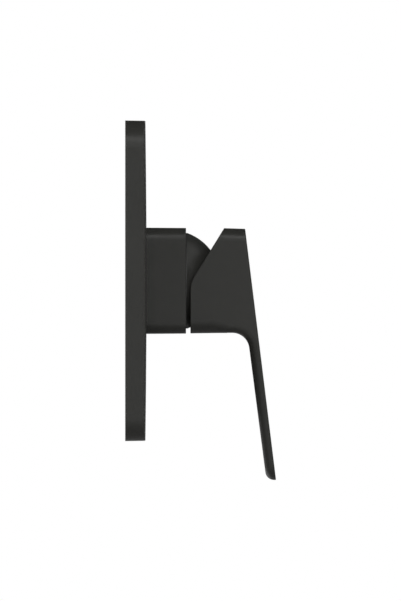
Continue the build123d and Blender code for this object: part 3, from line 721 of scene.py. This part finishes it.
def make_screw_set_tree(thread):
    """Four pan-head screws with a cross recess on a circle, heads away from the wall."""
    tree, given, result = new_group(
        "carrier_screw_set", "GeometryNodeTree",
        [("Circle radius", FLOAT, 0.036), ("Tip", FLOAT, 0.001),
         ("Head end", FLOAT, 0.0083), ("Finish", MATERIAL, None)],
        [("Piece", GEOMETRY)],
    )
    top = subtract(tree, given["Head end"], given["Tip"])
    seat = subtract(tree, top, SCREW_HEAD_HEIGHT)
    shank = use_tree(tree, thread, Radius=SCREW_SHANK_RADIUS, Pitch=SCREW_PITCH,
                     Length=add(tree, seat, SCREW_SHANK_OVERLAP))
    recess_floor = subtract(tree, top, SCREW_RECESS_DEPTH)
    over = add(tree, top, SCREW_HEAD_HEIGHT)
    arms = [slot_block(tree, SCREW_HEAD_RADIUS, SCREW_RECESS_WIDTH, recess_floor, over, turn)
            for turn in (0.0, QUARTER_TURN)]
    screw = cut(tree, fuse(tree, shank, pan_head(tree, seat)), *arms)

    circle = output(tree, "GeometryNodeMeshCircle", {
        "Vertices": SCREWS, "Radius": given["Circle radius"]})
    upright = output(tree, "GeometryNodeTransform", {
        "Geometry": circle, "Rotation": (QUARTER_TURN, 0, 0)})
    placed = output(tree, "GeometryNodeInstanceOnPoints", {
        "Points": upright, "Instance": off_wall(tree, screw, given["Tip"])})
    whole = output(tree, "GeometryNodeRealizeInstances", {"Geometry": placed})
    finish_piece(tree, whole, given, result)
    return tree


def make_set_screw_tree(thread):
    """A headless screw with a hexagon socket, along its tilted way into the stem."""
    tree, given, result = new_group(
        "hexagon_set_screw", "GeometryNodeTree",
        [("Radius", FLOAT, 0.003), ("Length", FLOAT, 0.008), ("Middle", VECTOR, None),
         ("Finish", MATERIAL, None)],
        [("Piece", GEOMETRY)],
    )
    rod = use_tree(tree, thread, Radius=given["Radius"], Length=given["Length"],
                   Pitch=SET_SCREW_PITCH)
    key_foot = subtract(tree, given["Length"], HEX_KEY_DEPTH)
    beyond = add(tree, given["Length"], HEX_KEY_DEPTH)
    key = cylinder(tree, HEX_KEY_WIDTH / math.sqrt(3), key_foot, beyond, vertices=6)
    centred = output(tree, "GeometryNodeTransform", {
        "Geometry": cut(tree, rod, key),
        "Translation": join(tree, z=multiply(tree, given["Length"], -0.5))})
    seated = output(tree, "GeometryNodeTransform", {
        "Geometry": centred, "Translation": given["Middle"],
        "Rotation": (math.pi + SET_SCREW_TILT, 0, 0)})
    finish_piece(tree, seated, given, result)
    return tree


def make_nut_tree(thread):
    """A ring nut with an outer thread, a lip inside its foot and six slots in its rim."""
    tree, given, result = new_group(
        "slotted_ring_nut", "GeometryNodeTree",
        [("Radius", FLOAT, 0.019), ("Foot", FLOAT, 0.02), ("Head", FLOAT, 0.026),
         ("Finish", MATERIAL, None)],
        [("Piece", GEOMETRY)],
    )
    tall = subtract(tree, given["Head"], given["Foot"])
    rod = use_tree(tree, thread, Radius=given["Radius"], Length=tall, Pitch=NUT_PITCH)
    over = add(tree, tall, NUT_SLOT_DEPTH)
    slot_foot = subtract(tree, tall, NUT_SLOT_DEPTH)
    across = multiply(tree, given["Radius"], NUT_SLOT_LENGTH)
    bore = cylinder(tree, NUT_BORE_RADIUS, -NUT_SLOT_DEPTH, over, NUT_BORE_STEPS)
    rim_bore = cylinder(tree, NUT_RIM_BORE_RADIUS, NUT_LIP_THICK, over, NUT_BORE_STEPS)
    slots = [slot_block(tree, across, NUT_SLOT_WIDTH, slot_foot, over, math.radians(angle))
             for angle in NUT_SLOT_ANGLES]
    nut = cut(tree, rod, bore, rim_bore, *slots)
    finish_piece(tree, off_wall(tree, nut, given["Foot"]), given, result)
    return tree


# Pieces

def grow(name, tree, **sizes):
    """A plain mesh object made by a node tree with these sizes."""
    piece = bpy.data.objects.new(name, bpy.data.meshes.new(name))
    scene.collection.objects.link(piece)
    maker = piece.modifiers.new("shape", "NODES")
    maker.node_group = tree
    for item in tree.interface.items_tree:
        label = item.name.lower().replace(" ", "_")
        if item.in_out == "INPUT" and label in sizes:
            maker[item.identifier] = sizes[label]
    evaluated = piece.evaluated_get(bpy.context.evaluated_depsgraph_get())
    mesh = bpy.data.meshes.new_from_object(evaluated)
    piece.modifiers.remove(maker)
    # Cutting leaves an empty material slot, so the mesh gets its one finish again
    mesh.materials.clear()
    mesh.materials.append(sizes["finish"])
    piece.data = mesh
    mesh.name = name
    return piece


def settle(piece, node_name, body="wall_unit"):
    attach(piece, body)
    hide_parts(node_name)


def lay_soft_pieces(rubber, foam):
    strip = make_strip_tree()
    low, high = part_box("plate_gasket")
    gasket = grow("foam_gasket_strip", strip, side=2 * high[0] - GASKET_WIDTH,
                  corner_radius=GASKET_CORNER - GASKET_WIDTH / 2, steps=GASKET_STEPS,
                  width=GASKET_WIDTH - 2 * FOAM_ROOM, depth=-low[1] - 2 * FOAM_ROOM,
                  section_roundness=GASKET_ROUNDNESS, unevenness=2 * FOAM_ROOM,
                  swells_per_metre=FOAM_SWELLS_PER_METRE, butt_joint=BUTT_JOINT_DEPTH,
                  distance_from_wall=FOAM_ROOM, finish=foam)
    settle(gasket, "plate_gasket")

    low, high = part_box("plate_seal")
    frame_seal = grow("sleeve_seal_frame", strip, side=2 * high[0] - SEAL_WIDTH,
                      corner_radius=SEAL_CORNER - SEAL_WIDTH / 2, steps=SEAL_STEPS,
                      width=SEAL_WIDTH, depth=high[1] - low[1],
                      section_roundness=SEAL_ROUNDNESS, distance_from_wall=-high[1],
                      finish=rubber)
    settle(frame_seal, "plate_seal")

    low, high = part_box("body_o_ring")
    thick = high[1] - low[1]
    o_ring = grow("port_face_o_ring", strip, side=2 * high[0] - thick,
                  corner_radius=high[0] - thick / 2, steps=O_RING_STEPS,
                  width=thick - 2 * MOULD_LINE, depth=thick, section_roundness=1.0,
                  mould_line=MOULD_LINE, distance_from_wall=-high[1], finish=rubber)
    settle(o_ring, "body_o_ring")

    low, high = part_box("base_seals")
    half_reach = (high[2] - low[2]) / 2
    outer_radius = half_reach - PORT_CIRCLE_RISE * PORT_CIRCLE
    seals = grow("cartridge_port_seals", make_trio_tree(strip), port_circle=PORT_CIRCLE,
                 ring_radius=outer_radius - PORT_SEAL_WIDTH / 2, width=PORT_SEAL_WIDTH,
                 depth=high[1] - low[1], distance_from_wall=-high[1], finish=rubber)
    settle(seals, "base_seals")


def drive_screws(steel, brass):
    thread = make_thread_tree()
    low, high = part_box("carrier_screws")
    screws = grow("carrier_screw_set", make_screw_set_tree(thread),
                  circle_radius=high[0] - SCREW_HEAD_RADIUS, tip=-high[1], head_end=-low[1],
                  finish=steel)
    settle(screws, "carrier_screws")

    low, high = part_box("set_screw")
    middle = [(a + b) / 2 for a, b in zip(low, high)]
    set_screw = grow("hexagon_set_screw", make_set_screw_tree(thread),
                     radius=SET_SCREW_RADIUS, length=SET_SCREW_LENGTH, middle=middle,
                     finish=steel)
    settle(set_screw, "set_screw", "lever_arm")

    low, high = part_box("retaining_nut")
    nut = grow("slotted_ring_nut", make_nut_tree(thread), radius=high[0], foot=-high[1],
               head=-low[1], finish=brass)
    settle(nut, "retaining_nut")


# Studio

def towards(azimuth, elevation):
    """Direction from the mixer: azimuth 0 is the camera's side, 90 is the user's side."""
    a, e = math.radians(azimuth), math.radians(elevation)
    return Vector((-math.cos(a) * math.cos(e), -math.sin(a) * math.cos(e), math.sin(e)))


def softbox(name, azimuth, elevation, half_width, half_height, radiance, mirrored):
    """Flat lamp that spans the given half angles as the mixer sees it."""
    data = bpy.data.lights.new(name, "AREA")
    data.shape = "RECTANGLE"
    data.size = 2 * LAMP_DISTANCE * math.tan(math.radians(half_width))
    data.size_y = 2 * LAMP_DISTANCE * math.tan(math.radians(half_height))
    data.energy = radiance * math.pi * data.size * data.size_y
    lamp = bpy.data.objects.new(name, data)
    way = towards(azimuth, elevation)
    lamp.location = LAMP_AIM + way * LAMP_DISTANCE
    lamp.rotation_euler = (-way).to_track_quat("-Z", "Y").to_euler()
    lamp.visible_camera = False
    lamp.visible_glossy = mirrored
    scene.collection.objects.link(lamp)


def background_mask(tree, mirrored_share):
    """1 for rays that see the white background, and this share for reflected ones."""
    path = node(tree, "ShaderNodeLightPath").outputs
    seen = at_least(tree, path["Is Camera Ray"], path["Is Transmission Ray"])
    mirrored = multiply(tree, path["Is Glossy Ray"], mirrored_share)
    return at_least(tree, seen, mirrored)


def light_world():
    """Dim fill, with a white backdrop behind the mixer as the picture sees it."""
    world = bpy.data.worlds.new("studio")
    scene.world = world
    world.use_nodes = True
    tree = world.node_tree
    way = node(tree, "ShaderNodeTexCoord").outputs["Generated"]
    spread = output(tree, "ShaderNodeMapRange", {
        "Value": split(tree, way)["X"], "From Min": BACKDROP_EDGE, "From Max": BACKDROP_FULL})
    fill = node(tree, "ShaderNodeMix", {0: background_mask(tree, spread)}, data_type="RGBA")
    fill.inputs[6].default_value = (FILL_LEVEL, FILL_LEVEL, FILL_LEVEL, 1)
    fill.inputs[7].default_value = (1, 1, 1, 1)
    tree.links.new(fill.outputs[2], tree.nodes["Background"].inputs["Color"])


def lay_floor():
    mesh = bpy.data.meshes.new("floor")
    corners = [(x * FLOOR_REACH, y * FLOOR_REACH, FLOOR_LEVEL)
               for x, y in ((-1, -1), (1, -1), (1, 1), (-1, 1))]
    mesh.from_pydata(corners, [], [(0, 1, 2, 3)])
    floor = bpy.data.objects.new("floor", mesh)
    scene.collection.objects.link(floor)
    material = bpy.data.materials.new("pale_floor")
    material.use_nodes = True
    tree = material.node_tree
    shader = tree.nodes["Principled BSDF"]
    shader.inputs["Base Color"].default_value = (FLOOR_GREY, FLOOR_GREY, FLOOR_GREY, 1)
    shader.inputs["Roughness"].default_value = FLOOR_ROUGHNESS
    glow = output(tree, "ShaderNodeEmission")
    share = multiply(tree, background_mask(tree, FLOOR_MIRRORED), FLOOR_GLOW)
    mix = output(tree, "ShaderNodeMixShader", {0: share, 1: shader.outputs[0], 2: glow})
    tree.links.new(mix, tree.nodes["Material Output"].inputs["Surface"])
    mesh.materials.append(material)


def set_camera():
    data = bpy.data.cameras.new("side_view")
    data.type = "ORTHO"
    data.ortho_scale = IMAGE_HEIGHT * METRES_PER_PIXEL
    camera = bpy.data.objects.new("side_view", data)
    out = (IMAGE_WIDTH / 2 - WALL_COLUMN) * METRES_PER_PIXEL
    up = (AXIS_ROW - IMAGE_HEIGHT / 2) * METRES_PER_PIXEL
    camera.location = (-CAMERA_DISTANCE, -out, up)
    camera.rotation_euler = Vector((1, 0, 0)).to_track_quat("-Z", "Y").to_euler()
    scene.collection.objects.link(camera)
    scene.camera = camera


rubber, foam, steel, brass = dress()
lay_soft_pieces(rubber, foam)
drive_screws(steel, brass)
for lamp in LAMPS:
    softbox(*lamp)
light_world()
lay_floor()
set_camera()
scene.view_settings.view_transform = "Standard"
